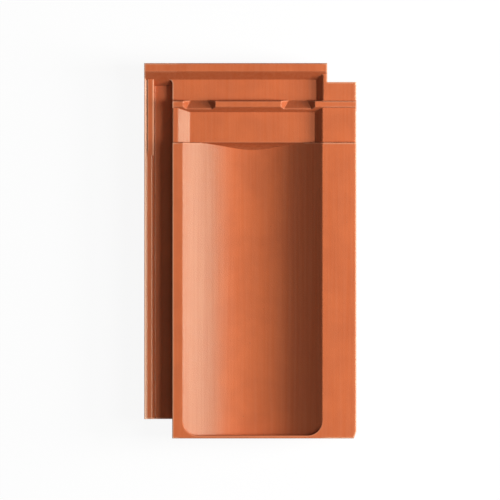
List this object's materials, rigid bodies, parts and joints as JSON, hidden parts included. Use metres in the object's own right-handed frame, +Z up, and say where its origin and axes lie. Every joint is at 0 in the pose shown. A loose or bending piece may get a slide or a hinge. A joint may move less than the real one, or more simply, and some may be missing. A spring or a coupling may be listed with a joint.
{
  "type": "clay roof tile",
  "caption": "Interlocking fired clay roof tile with a wide concave trough, a water groove along one side, a cover rib along the other, and hanging nibs under the head.",
  "frame": {"origin": "middle of the tile's plan, on the floor that its nibs and foot rib stand on", "axes": "+X across the tile towards the cover rib, +Y along it towards the head, +Z up out of its face"},
  "size_m": [0.276, 0.488, 0.046],
  "materials": {
    "fired_clay": "natural red slip, satin"
  },
  "bodies": {
    "root": {"roof_tile": "fired_clay"}
  },
  "joints": []
}
